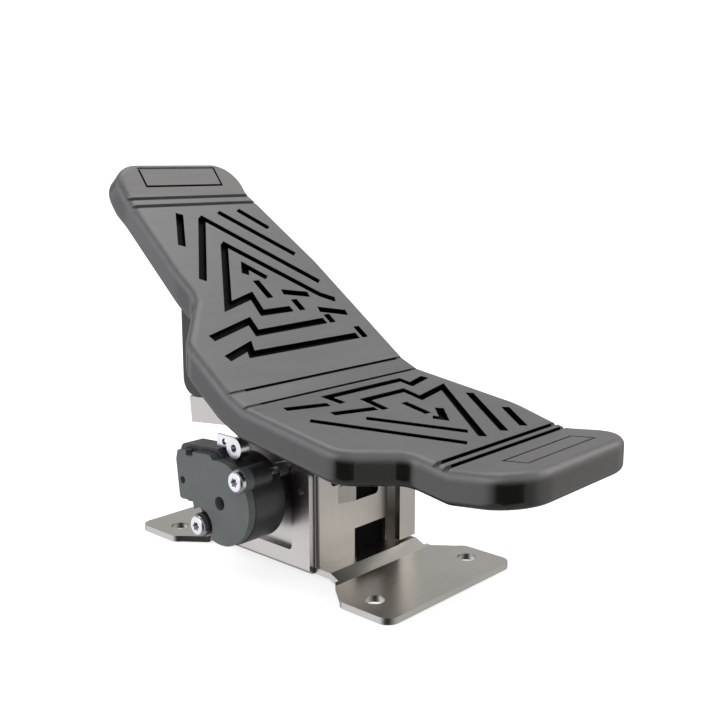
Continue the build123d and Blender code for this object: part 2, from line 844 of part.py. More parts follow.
# Anti-slip pattern: chevrons and stepped bars, in (X, distance up the slope) of each slope
rear_grooves = [
    [(22, -12), (32, -28)],
    [(8, -13), (34, -50)],
    [(-6, -16), (34, -72)],
    [(-6, -37), (27, -81), (34, -86)],
    [(-17, -13), (-31, -37)],
    [(-6, -18), (-35, -62)],
    [(-6, -39), (-33, -81), (-15, -76), (-17, -88), (2, -88)],
    [(-8, -61), (-4, -55), (3, -65)],
    [(-5, -66), (-5, -79)],
    [(8, -82), (8, -90)],
    [(5, -76), (20, -80)],
    [(-55, -99), (-28, -92), (-29, -100), (16, -99)],
    [(20, -95), (20, -101)],
    [(18, -91), (34, -96)],
    [(-55, -112), (-39, -107), (-41, -112), (28, -112)],
    [(32, -106), (32, -114)],
]
front_grooves = [
    [(-54, 73), (-33, 68)],
    [(-26, 66), (-27, 75), (22, 75), (22, 68), (37, 72)],
    [(-40, 59), (-18, 54)],
    [(-15, 51), (-14, 64), (12, 64), (11, 53), (33, 58), (-3, 8)],
    [(-54, 58), (-15, 7)],
    [(-31, 48), (-4, 15)],
    [(38, 46), (11, 7)],
    [(37, 25), (24, 6)],
    [(-1, 53), (-2, 38)],
    [(8, 40), (-1, 30), (-4, 34)],
]

# Inside of the shell, less its ribs and screw bosses, is the hollow under the tread
with BuildPart() as hollow:
    with BuildSketch(side_plane(-tread_reach_x)):
        tread_profile(skin_chain, parallel_chain(top_chain, -2 * tread_depth))
    extrude(amount=2 * tread_reach_x)
    with BuildSketch(Plane.XY.offset(outline_floor_z)):
        with BuildLine():
            FilletPolyline(*outline_points, radius=outline_radii, close=True)
        make_face()
        offset(amount=-tread_wall, kind=Kind.INTERSECTION)
    extrude(amount=outline_height, mode=Mode.INTERSECT)
    cut_toe_corners(tread_wall)

# Screws up into the tread: the toe pair passes through the block
under_crease_y = under_chain[3][0] - pivot_y
under_crease_z = under_chain[3][1] - pivot_z
under_crease_l = under_crease_y * math.cos(tilt) - under_crease_z * math.sin(tilt)
under_crease_h = under_crease_y * math.sin(tilt) + under_crease_z * math.cos(tilt)
rear_rise = math.tan(math.radians(rear_slope_deg) + tilt)
toe_screw_top_h = under_crease_h + (toe_screw_l - under_crease_l) * rear_rise + screw_bite

with BuildPart() as ribs:
    with BuildSketch(Plane.XY.offset(outline_floor_z)):
        with GridLocations(rib_pitch, 0, rib_columns, 1):
            Rectangle(rib_thickness, (rib_rows + 1) * rib_pitch)
        with GridLocations(0, rib_pitch, 1, rib_rows):
            Rectangle(2 * tread_reach_x, rib_thickness)
    extrude(amount=outline_height)
    with BuildSketch(treadle_level.offset(bracket_top_h)):
        with Locations(*tread_screw_places):
            Circle(boss_r)
    extrude(amount=outline_height)
    with BuildSketch(treadle_side.offset(-bracket_half_x - side_play)):
        with Locations((bracket_middle_l, 0)):
            Rectangle(bracket_length + 2 * side_play, 2 * bracket_top_h)
    extrude(amount=2 * (bracket_half_x + side_play), mode=Mode.SUBTRACT)
    with BuildSketch(treadle_level.offset(bracket_top_h)):
        with Locations((yoke_middle_x, -yoke_bolt_l)):
            Circle(screw_head_r + head_space_gap)
    extrude(amount=head_space, mode=Mode.SUBTRACT)

with BuildPart() as tread:
    with BuildSketch(side_plane(-tread_reach_x)):
        tread_profile(top_chain, under_chain)
    extrude(amount=2 * tread_reach_x)
    with BuildSketch(Plane.XY.offset(outline_floor_z)):
        with BuildLine():
            FilletPolyline(*outline_points, radius=outline_radii, close=True)
        make_face()
    extrude(amount=outline_height, mode=Mode.INTERSECT)
    cut_toe_corners(0)
    top_faces = tread.faces().filter_by(lambda face: face.normal_at().Z > 0.3)
    bend_edges = (
        tread.edges()
        .filter_by(Axis.X)
        .filter_by_position(Axis.Y, heel_end[0] + cut_beyond, toe_end[0] - cut_beyond)
    )
    rim_edges = [edge for face in top_faces for edge in face.edges() if edge not in bend_edges]
    fillet(rim_edges, tread_edge_r)
    add(hollow.part - ribs.part, mode=Mode.SUBTRACT)
    for plane, levels, width, depth in (
        (rear_plane, (0, -end_groove_gap), cross_groove_width, cross_groove_depth),
        (front_plane, (0, near_groove_level), cross_groove_width, cross_groove_depth),
        (rear_plane, (-rear_plane_length,), crease_groove_width, crease_groove_depth),
        (front_plane, (front_plane_length,), crease_groove_width, crease_groove_depth),
    ):
        with BuildSketch(plane) as cross_grooves:
            with Locations(*[(0, level) for level in levels]):
                Rectangle(2 * tread_reach_x, width)
        extrude(cross_grooves.sketch, amount=-depth, mode=Mode.SUBTRACT)
    for plane, paths in ((rear_plane, rear_grooves), (front_plane, front_grooves)):
        with BuildSketch(plane) as pattern:
            for path in paths:
                groove(path)
        extrude(pattern.sketch, amount=-groove_depth, mode=Mode.SUBTRACT)
    for plane, middle in (
        (far_pad_plane, inset_margin + inset_length / 2),
        (near_pad_plane, -inset_margin - inset_length / 2 - end_groove_gap),
    ):
        with BuildSketch(plane) as inset_panel:
            with Locations((0, middle)):
                Rectangle(2 * inset_half_x, inset_length)
                Rectangle(
                    2 * (inset_half_x - inset_line),
                    inset_length - 2 * inset_line,
                    mode=Mode.SUBTRACT,
                )
        extrude(inset_panel.sketch, amount=-inset_depth, mode=Mode.SUBTRACT)
    with BuildSketch(treadle_level.offset(bracket_top_h)):
        with Locations(*[(x, heel_screw_l) for x in (-screw_half_x, screw_half_x)]):
            Circle(screw_r)
    extrude(amount=screw_bite, mode=Mode.SUBTRACT)
    with BuildSketch(treadle_level.offset(bracket_top_h)):
        with Locations(*[(x, toe_screw_l) for x in (-screw_half_x, screw_half_x)]):
            Circle(screw_r)
    extrude(amount=toe_screw_top_h - bracket_top_h, mode=Mode.SUBTRACT)
write(tread, "tread_pad")

# Block that fills the wedge between the bracket and the tread, ribbed from below
under_slope = math.tan(math.radians(rear_slope_deg))


def bracket_top_z(y):
    """Height of the bracket's top face at `y`."""
    return pivot_z + bracket_top_h / math.cos(tilt) - (y - pivot_y) * math.tan(tilt)


def tread_under_z(y):
    """Height of the tread's underside at `y`, on the rear slope."""
    return under_chain[3][1] + (y - under_chain[3][0]) * under_slope


block_outline = [
    (block_heel_y, bracket_top_z(block_heel_y)),
    (block_toe_y, bracket_top_z(block_toe_y)),
    (block_toe_y, tread_under_z(block_toe_y)),
    (block_heel_y, tread_under_z(block_heel_y)),
]
pocket_heel_y = block_heel_y + 2 * block_wall
pocket_toe_y = block_toe_y - block_wall
pocket_outline = [
    (pocket_heel_y, bracket_top_z(pocket_heel_y)),
    (pocket_toe_y, bracket_top_z(pocket_toe_y) - block_wall),
    (pocket_toe_y, tread_under_z(pocket_toe_y) - 2 * block_wall),
    (pocket_heel_y, tread_under_z(pocket_heel_y) - block_wall / 2),
]
pocket_span = (2 * block_half_x - 4 * block_wall) / 3

with BuildPart() as block_bosses:
    with BuildSketch(treadle_level.offset(bracket_top_h)):
        with Locations(*[(x, toe_screw_l) for x in (-screw_half_x, screw_half_x)]):
            Circle(boss_r)
    extrude(amount=2 * block_toe_y)

with BuildPart() as block_pockets:
    for i in (-1, 0, 1):
        middle = i * (pocket_span + block_wall)
        with BuildSketch(side_plane(middle - pocket_span / 2)):
            polygon(pocket_outline)
        extrude(amount=pocket_span)

with BuildPart() as tread_block:
    with BuildSketch(side_plane(-block_half_x)):
        outline = Polygon(*block_outline, align=None)
        fillet(outline.vertices().sort_by(Axis.X)[-2:].sort_by(Axis.Y)[0], block_corner_r)
    extrude(amount=2 * block_half_x)
    add(block_pockets.part - block_bosses.part, mode=Mode.SUBTRACT)
    with BuildSketch(treadle_level.offset(bracket_top_h)):
        with Locations(*[(x, toe_screw_l) for x in (-screw_half_x, screw_half_x)]):
            Circle(screw_r)
    extrude(amount=2 * block_toe_y, mode=Mode.SUBTRACT)
write(tread_block, "tread_block")

with BuildPart() as tread_screws:
    with BuildSketch(treadle_level.offset(yoke_top_h - screw_head_height)):
        with Locations(*tread_screw_places):
            RegularPolygon(screw_head_r, 6)
    extrude(amount=screw_head_height)
    for l, top_h in ((heel_screw_l, bracket_top_h + screw_bite), (toe_screw_l, toe_screw_top_h)):
        with BuildSketch(treadle_level.offset(yoke_top_h)):
            with Locations((-screw_half_x, l), (screw_half_x, l)):
                Circle(screw_r)
        extrude(amount=top_h - yoke_top_h)
write(tread_screws, "tread_screws")

# Angle sensor: housing on a spigot, with a flat wing that holds the plug socket
wing_outline = [
    (pivot_y, pivot_z + wing_root_r),
    (pivot_y + wing_top_heel_y, pivot_z + wing_top_heel_z),
    (pivot_y + wing_top_toe_y, pivot_z + wing_top_toe_z),
    (pivot_y + wing_tip_y, pivot_z + wing_tip_z),
    (pivot_y + wing_low_toe_y, pivot_z + wing_low_toe_z),
    (pivot_y + wing_low_heel_y, pivot_z + wing_low_z),
    (pivot_y, pivot_z + wing_low_z),
]
socket_mouth_y = pivot_y + wing_tip_y + cut_beyond
socket_floor_y = pivot_y + wing_tip_y - cut_beyond - socket_depth
socket_x = (sensor_body_outer_x + wing_inner_x) / 2
socket_z = pivot_z + socket_lift

with BuildPart() as sensor_housing:
    with BuildSketch(side_plane(sensor_body_outer_x)):
        with Locations(axis_place):
            Circle(sensor_body_r)
    extrude(amount=sensor_body_inner_x - sensor_body_outer_x)
    with BuildSketch(side_plane(sensor_body_outer_x)):
        wing = Polygon(*wing_outline, align=None)
        fillet(wing.vertices().sort_by(Axis.X)[-3:], wing_corner_r)
    extrude(amount=wing_inner_x - sensor_body_outer_x)
    with BuildSketch(side_plane(sensor_face_x)):
        with Locations(toe_screw_place):
            Circle(ear_r)
    extrude(amount=wing_inner_x - sensor_face_x)
    with BuildSketch(side_plane(sensor_body_outer_x)):
        with Locations(heel_screw_place):
            Circle(ear_r)
    extrude(amount=wing_thickness)
    with BuildSketch(side_plane(sensor_body_inner_x)):
        with Locations(axis_place):
            Circle(sensor_spigot_r)
    extrude(amount=inner_left_x - sensor_body_inner_x)
    with BuildSketch(side_plane(sensor_body_outer_x + sensor_end_wall)):
        with Locations(axis_place):
            Circle(sensor_bore_r)
    extrude(amount=inner_left_x - sensor_body_outer_x - sensor_end_wall, mode=Mode.SUBTRACT)
    with BuildSketch(side_plane(sensor_face_x)):
        with Locations(heel_screw_place, toe_screw_place):
            Circle(sensor_screw_r)
    extrude(amount=sensor_body_inner_x - sensor_face_x, mode=Mode.SUBTRACT)
    with BuildSketch(Plane.XZ.offset(-socket_mouth_y)):
        with Locations((socket_x, socket_z)):
            RectangleRounded(socket_x_width, 2 * socket_half_z, socket_corner_r)
    extrude(amount=socket_mouth_y - socket_floor_y, mode=Mode.SUBTRACT)
write(sensor_housing, "sensor_housing")

with BuildPart() as plug_contacts:
    with BuildSketch(Plane.XZ.offset(-socket_floor_y - contact_length)):
        with Locations((socket_x, socket_z)):
            with GridLocations(0, contact_pitch, 1, 3):
                Circle(contact_r)
    extrude(amount=contact_length)
write(plug_contacts, "plug_contacts")

with BuildSketch(side_plane(sensor_face_x)) as wing_plate:
    wing = Polygon(*wing_outline, align=None)
    fillet(wing.vertices().sort_by(Axis.X)[-3:], wing_corner_r)
    offset(amount=-wing_step, kind=Kind.INTERSECTION)

with BuildPart() as sensor_cover:
    with BuildSketch(side_plane(sensor_face_x)):
        with Locations(axis_place):
            Circle(cover_r)
        add(wing_plate.sketch_local)
        with Locations(heel_screw_place):
            Circle(ear_r)
            Circle(sensor_screw_r, mode=Mode.SUBTRACT)
        with Locations(toe_screw_place):
            Circle(ear_r + ear_gap, mode=Mode.SUBTRACT)
        with Locations(axis_place):
            Circle(cover_hole_r, mode=Mode.SUBTRACT)
        with Locations((pivot_y + cover_notch_y, pivot_z + cover_notch_z)):
            Rectangle(cover_notch_width, cover_notch_height, mode=Mode.SUBTRACT)
        with Locations((pivot_y + cover_port_y, pivot_z + cover_port_z)):
            Circle(cover_port_r, mode=Mode.SUBTRACT)
    extrude(amount=sensor_body_outer_x - sensor_face_x)
write(sensor_cover, "sensor_cover")

with BuildPart() as sensor_screws:
    with BuildSketch(side_plane(sensor_face_x - sensor_screw_head_height)):
        with Locations(heel_screw_place, toe_screw_place):
            Circle(sensor_screw_head_r)
    extrude(amount=sensor_screw_head_height)
    fillet(sensor_screws.faces().sort_by(Axis.X)[:2].edges(), sensor_screw_head_height / 2)
    with BuildSketch(side_plane(sensor_face_x - sensor_screw_head_height)):
        with Locations(heel_screw_place, toe_screw_place):
            RegularPolygon(sensor_screw_r, 6)
    extrude(amount=sensor_screw_r, mode=Mode.SUBTRACT)
    with BuildSketch(side_plane(sensor_face_x)):
        with Locations(heel_screw_place, toe_screw_place):
            Circle(sensor_screw_r)
    extrude(amount=flank_inner_left_x - sensor_face_x)
write(sensor_screws, "sensor_screws")

with BuildPart() as sensor_spacers:
    with BuildSketch(side_plane(sensor_body_inner_x)):
        with Locations(heel_screw_place, toe_screw_place):
            Circle(spacer_r)
            Circle(sensor_screw_r, mode=Mode.SUBTRACT)
    extrude(amount=inner_left_x - sensor_body_inner_x)
write(sensor_spacers, "sensor_spacers")

with BuildPart() as sensor_rotor:
    with BuildSketch(side_plane(rotor_inner_x)):
        with Locations(axis_place):
            Circle(sensor_bore_r - rotor_gap)
    extrude(amount=-rotor_length)
    with BuildSketch(side_plane(rotor_inner_x)):
        with Locations(axis_place):
            Circle(shaft_r)
        with Locations((pivot_y, drive_flat_z + shaft_r / 2)):
            Rectangle(2 * shaft_r, shaft_r, mode=Mode.SUBTRACT)
    extrude(amount=-drive_length, mode=Mode.SUBTRACT)
write(sensor_rotor, "sensor_rotor")

# Cable clip on top of the sensor
clip_eye_y = pivot_y + clip_eye_offset_y
clip_eye_z = pivot_z + sensor_body_r + clip_eye_r + clip_gap
wing_top_z = pivot_z + wing_top_heel_z
with BuildPart() as cable_clip:
    with BuildSketch(side_plane(clip_x - clip_width / 2)):
        with Locations((clip_eye_y, clip_eye_z)):
            Circle(clip_eye_r)
            Circle(clip_eye_hole_r, mode=Mode.SUBTRACT)
    extrude(amount=clip_width)
    with BuildSketch(side_plane(clip_x - clip_sheet / 2)):
        with Locations(
            (clip_eye_y + clip_tab_length / 2, wing_top_z + side_play + clip_tab_height / 2)
        ):
            Rectangle(clip_tab_length, clip_tab_height)
        with Locations((clip_eye_y, clip_eye_z)):
            Circle(clip_eye_hole_r, mode=Mode.SUBTRACT)
        with Locations((clip_eye_y + clip_tab_hole_y, wing_top_z + clip_tab_height / 2)):
            Circle(clip_tab_hole_r, mode=Mode.SUBTRACT)
    extrude(amount=clip_sheet)
write(cable_clip, "cable_clip")
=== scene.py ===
import math

import bpy
from bpy.props import FloatProperty, FloatVectorProperty, IntProperty, PointerProperty
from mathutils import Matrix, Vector


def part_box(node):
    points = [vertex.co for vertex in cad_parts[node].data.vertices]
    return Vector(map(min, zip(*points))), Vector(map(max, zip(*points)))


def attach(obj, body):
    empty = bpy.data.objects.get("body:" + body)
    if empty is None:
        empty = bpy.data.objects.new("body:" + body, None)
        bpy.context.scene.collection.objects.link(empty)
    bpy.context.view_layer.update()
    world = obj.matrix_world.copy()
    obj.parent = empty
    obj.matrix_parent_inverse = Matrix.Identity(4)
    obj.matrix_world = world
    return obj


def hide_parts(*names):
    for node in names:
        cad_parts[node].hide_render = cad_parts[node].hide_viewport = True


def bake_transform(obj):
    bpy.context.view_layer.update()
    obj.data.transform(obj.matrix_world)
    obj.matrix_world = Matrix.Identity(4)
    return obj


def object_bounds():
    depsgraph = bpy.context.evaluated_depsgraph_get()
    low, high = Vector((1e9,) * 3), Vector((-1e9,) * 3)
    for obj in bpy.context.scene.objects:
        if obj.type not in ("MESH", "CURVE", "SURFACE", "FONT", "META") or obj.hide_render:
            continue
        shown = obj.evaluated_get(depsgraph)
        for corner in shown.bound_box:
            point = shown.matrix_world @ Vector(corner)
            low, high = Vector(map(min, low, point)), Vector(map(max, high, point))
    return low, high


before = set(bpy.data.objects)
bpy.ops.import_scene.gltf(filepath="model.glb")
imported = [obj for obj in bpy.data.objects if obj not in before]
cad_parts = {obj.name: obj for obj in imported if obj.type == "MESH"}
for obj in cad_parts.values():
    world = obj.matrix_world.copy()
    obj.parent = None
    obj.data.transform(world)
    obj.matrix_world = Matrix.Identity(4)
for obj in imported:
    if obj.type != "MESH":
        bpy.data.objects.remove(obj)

bl_info = {
    "name": "Rocker foot pedal",
    "version": (1, 0, 0),
    "blender": (4, 5, 0),
    "location": "View3D > Sidebar > Pedal",
    "description": "Dresses a rocker foot pedal with its angle sensor and sets its studio",
    "category": "Object",
}

cad_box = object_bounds()
pedal_middle = (cad_box[0] + cad_box[1]) / 2

# The slopes of the tread top from the toe end to the heel end:
# a point (Y, Z) in metres and the slope in degrees
TREAD_SLOPES = (
    ((0.0919, 0.1697), 52.0),
    ((-0.0165, 0.0909), 36.0),
    ((-0.0261, 0.0865), 24.6),
    ((-0.0261, 0.0865), 8.8),
    ((-0.1137, 0.0729), -7.0),
)

# The parts of the tread top whose grooves take painted shade, in metres:
# lowest X, highest X, lowest Y, highest Y
GROOVE_SHADE_AREAS = (
    (-0.0386, 0.0386, -0.1155, 0.0820),
    (-0.0580, 0.0405, -0.0560, 0.0125),
    (-0.0520, 0.0405, -0.0740, -0.0500),
    (-0.0555, 0.0386, 0.0100, 0.0185),
    (-0.0270, 0.0270, -0.1340, -0.1160),
    (-0.0270, 0.0270, 0.0920, 0.1025),
)

MM_PER_M = 1000.0

# Painted groove shade and the darker wall finish by depth below the tread top in millimetres:
# where absent, where full
GROOVE_FROM = (0.05, 0.35)
GROOVE_UNTIL = (3.4, 3.1)
WALL_FROM = (1.5, 5.0)
# Upward share of a normal: where a face isn't steep, where it is; steep groove faces take the full
# painted shade
STEEP = (0.72, 0.5)
GROOVE_DULLNESS = 0.3

# The sweep of the stage, in metres; it lies a hair below the base
FLOOR_DROP = 0.0004
SWEEP_CURVE = 0.9
SWEEP_SIDES = 96
SWEEP_STEPS = 8

WIRE_SIDES = 16
HEAD_SIDES = 48
# Share of a screw head's height that its domed rim takes up
DOME_SHARE = 0.55
# Flutes of the recess: where they start, as a share of the pitch from a lobe's middle,
# and how near the axis they come, as a share of the lobes' radius
FLUTE_START = 0.3
FLUTE_WAIST = 0.78
# Slack when a vertex is picked by its place, in metres and as a share
PICK_SLACK = 1e-5
PICK_SHARE = 1.02


# Sizes and colours


class StageSettings(bpy.types.PropertyGroup):
    """Camera, sweep and lights."""

    camera_place: FloatVectorProperty(
        name="Camera place",
        description="Where the camera stands",
        size=3,
        default=(-0.3385, -0.3394, 0.1864),
        subtype="TRANSLATION",
        unit="LENGTH",
    )
    camera_turn: FloatProperty(
        name="Camera turn",
        description="Turn of the camera about the vertical",
        default=math.radians(-47.43),
        subtype="ANGLE",
    )
    camera_dip: FloatProperty(
        name="Camera dip",
        description="How far the camera looks below the horizon",
        default=math.radians(10.98),
        subtype="ANGLE",
    )
    lens: FloatProperty(
        name="Lens", description="Focal length in millimetres on a 36 mm sensor", default=51.35
    )
    sweep_colour: FloatVectorProperty(
        name="Sweep colour",
        description="Colour of the floor and its rising edge",
        size=3,
        default=(0.50, 0.50, 0.50),
        subtype="COLOR",
    )
    sweep_glow: FloatProperty(
        name="Sweep glow", description="Light that the sweep gives by itself", default=0.70
    )
    sweep_radius: FloatProperty(
        name="Sweep radius",
        description="Radius of the flat part of the floor",
        default=1.5,
        unit="LENGTH",
    )
    room_colour: FloatVectorProperty(
        name="Room colour",
        description="Colour of the dim room around the sweep",
        size=3,
        default=(0.30, 0.30, 0.30),
        subtype="COLOR",
    )
    side_glow: FloatVectorProperty(
        name="Side glow",
        description="Light of the white wall on the sensor side",
        size=3,
        default=(1.12, 1.10, 1.15),
        subtype="COLOR",
    )
    front_glow: FloatVectorProperty(
        name="Front glow",
        description="Light of the warm wall at the heel end",
        size=3,
        default=(0.70, 0.68, 0.66),
        subtype="COLOR",
    )
    back_glow: FloatVectorProperty(
        name="Back glow",
        description="Light of the wall behind the pedal",
        size=3,
        default=(0.60, 0.59, 0.57),
        subtype="COLOR",
    )
    window_glow: FloatVectorProperty(
        name="Window glow",
        description="Light of the high window that the ramps mirror",
        size=3,
        default=(2.30, 2.24, 2.14),
        subtype="COLOR",
    )
    dark_colour: FloatVectorProperty(
        name="Dark side",
        description="Colour of the unlit room behind the camera",
        size=3,
        default=(0.012, 0.012, 0.012),
        subtype="COLOR",
    )
    top_power: FloatProperty(
        name="Top light", description="Power of the soft light overhead", default=7.0, unit="POWER"
    )
    left_power: FloatProperty(
        name="Left light",
        description="Power of the soft light on the sensor side",
        default=3.0,
        unit="POWER",
    )
    front_power: FloatProperty(
        name="Front light",
        description="Power of the soft light at the heel end",
        default=1.5,
        unit="POWER",
    )


class TreadSettings(bpy.types.PropertyGroup):
    """Finish of the moulded tread, with painted shade in its grooves and partly on its walls."""

    top_colour: FloatVectorProperty(
        name="Top colour",
        description="Colour of the satin top",
        size=3,
        default=(0.080, 0.080, 0.082),
        subtype="COLOR",
    )
    # Darker than the top partly by the walls' own olive colour, partly by painted shade
    shaded_wall_colour: FloatVectorProperty(
        name="Wall colour",
        description="Colour of the smoother side walls",
        size=3,
        default=(0.0060, 0.0063, 0.0045),
        subtype="COLOR",
    )
    # Painted shade: the near black colour that stands for the shade on the groove walls
    groove_shade_colour: FloatVectorProperty(
        name="Groove colour",
        description="Colour of the groove walls",
        size=3,
        default=(0.004, 0.004, 0.004),
        subtype="COLOR",
    )
    gloss: FloatProperty(
        name="Gloss", description="Strength of the plastic's reflections", default=1.0
    )
    # Painted shade: how far the groove floors take the painted groove shade
    groove_floor_shade: FloatProperty(
        name="Floor darkness",
        description="How far the groove floors take the colour of the groove walls",
        default=0.95,
    )
    top_roughness: FloatProperty(
        name="Top roughness", description="Roughness of the top", default=0.42
    )
    wall_roughness: FloatProperty(
        name="Wall roughness", description="Roughness of the side walls", default=0.13
    )
    grain_size: FloatProperty(
        name="Grain size",
        description="Size of the moulded grain",
        default=0.0008,
        unit="LENGTH",
    )


class MetalSettings(bpy.types.PropertyGroup):
    """Finish of the sheet metal and the fasteners."""

    stainless_colour: FloatVectorProperty(
        name="Stainless colour",
        description="Colour of the brushed sheet metal",
        size=3,
        default=(0.57, 0.55, 0.525),
        subtype="COLOR",
    )
    stainless_roughness: FloatProperty(
        name="Stainless roughness", description="Roughness of the brushed sheet", default=0.26
    )
    brush_length: FloatProperty(
        name="Brush length",
        description="Length of the brushed streaks",
        default=0.030,
        unit="LENGTH",
    )
    zinc_colour: FloatVectorProperty(
        name="Zinc colour",
        description="Colour of the bright zinc screws",
        size=3,
        default=(0.88, 0.88, 0.92),
        subtype="COLOR",
    )
    plated_colour: FloatVectorProperty(
        name="Plated steel colour",
        description="Colour of the plated steel",
        size=3,
        default=(0.50, 0.50, 0.51),
        subtype="COLOR",
    )


class SpringSettings(bpy.types.PropertyGroup):
    """Size of the two return springs."""

    wire_radius: FloatProperty(
        name="Wire radius", description="Radius of the wire", default=0.0009, unit="LENGTH"
    )
    turns: IntProperty(name="Turns", description="Turns of each spring", default=8)
    steps: IntProperty(name="Steps", description="Sections in each turn", default=28)


class SensorSettings(bpy.types.PropertyGroup):
    """Finish and fasteners of the angle sensor."""

    cover_colour: FloatVectorProperty(
        name="Cover colour",
        description="Colour of the slate grey cover",
        size=3,
        default=(0.070, 0.082, 0.080),
        subtype="COLOR",
    )
    housing_colour: FloatVectorProperty(
        name="Housing colour",
        description="Colour of the black housing",
        size=3,
        default=(0.022, 0.022, 0.024),
        subtype="COLOR",
    )
    head_radius: FloatProperty(
        name="Head radius", description="Radius of the screw heads", default=0.005, unit="LENGTH"
    )
    head_height: FloatProperty(
        name="Head height", description="Height of the screw heads", default=0.003, unit="LENGTH"
    )
    recess_radius: FloatProperty(
        name="Recess radius",
        description="Radius of the six lobed recess",
        default=0.0021,
        unit="LENGTH",
    )
    recess_depth: FloatProperty(
        name="Recess depth",
        description="Depth of the six lobed recess",
        default=0.0016,
        unit="LENGTH",
    )
    lobes: IntProperty(name="Lobes", description="Lobes of the recess", default=6)
    shank_radius: FloatProperty(
        name="Shank radius",
        description="Radius of the screw shanks",
        default=0.002,
        unit="LENGTH",
    )


# Materials


def new_material(name):
    """A new material, its node tree and its shader."""
    material = bpy.data.materials.new(name)
    material.use_nodes = True
    tree = material.node_tree
    return material, tree, tree.nodes["Principled BSDF"]


def add_node(tree, kind, **settings):
    """A new node with its settings."""
    made = tree.nodes.new(kind)
    for key, value in settings.items():
        setattr(made, key, value)
    return made


def math_node(tree, operation, first, second=None, third=None):
    """Output of a Math node fed with sockets or numbers."""
    made = add_node(tree, "ShaderNodeMath", operation=operation)
    for slot, value in enumerate((first, second, third)):
        if value is None:
            continue
        if isinstance(value, (int, float)):
            made.inputs[slot].default_value = value
        else:
            tree.links.new(value, made.inputs[slot])
    return made.outputs[0]


def ramp(tree, value, low, high, low_result=0.0, high_result=1.0):
    """Output that goes smoothly from low_result at low to high_result at high."""
    made = add_node(tree, "ShaderNodeMapRange", interpolation_type="SMOOTHSTEP")
    tree.links.new(value, made.inputs["Value"])
    made.inputs["From Min"].default_value = low
    made.inputs["From Max"].default_value = high
    made.inputs["To Min"].default_value = low_result
    made.inputs["To Max"].default_value = high_result
    return made.outputs["Result"]


def uneven(tree, pattern, middle, spread):
    """Output that a pattern of 0 to 1 spreads evenly around the middle."""
    return math_node(tree, "MULTIPLY_ADD", pattern, spread, middle - spread / 2)


def mix_colours(tree, share, first, second):
    """Output of a colour mix; first and second are sockets or colours."""
    made = add_node(tree, "ShaderNodeMix", data_type="RGBA")
    tree.links.new(share, made.inputs["Factor"])
    for slot, value in ((6, first), (7, second)):
        if isinstance(value, bpy.types.NodeSocket):
            tree.links.new(value, made.inputs[slot])
        else:
            made.inputs[slot].default_value = (*value, 1.0)
    return made.outputs[2]


def noise(tree, place, scale, detail=3.0, stretch=(1.0, 1.0, 1.0)):
    """Output of a noise, `scale` features a metre, stretched along the axes."""
    mapping = add_node(tree, "ShaderNodeMapping")
    mapping.inputs["Scale"].default_value = stretch
    tree.links.new(place, mapping.inputs["Vector"])
    made = add_node(tree, "ShaderNodeTexNoise")
    made.inputs["Scale"].default_value = scale
    made.inputs["Detail"].default_value = detail
    tree.links.new(mapping.outputs["Vector"], made.inputs["Vector"])
    return made.outputs["Fac"]


def bump(tree, shader, height, depth, strength=1.0):
    """Bump of `height` with a real depth in metres."""
    made = add_node(tree, "ShaderNodeBump")
    made.inputs["Strength"].default_value = strength
    made.inputs["Distance"].default_value = depth
    tree.links.new(height, made.inputs["Height"])
    tree.links.new(made.outputs["Normal"], shader.inputs["Normal"])


def darker(colour, share):
    """The colour, darkened to a share of itself."""
    return tuple(share * part for part in colour)


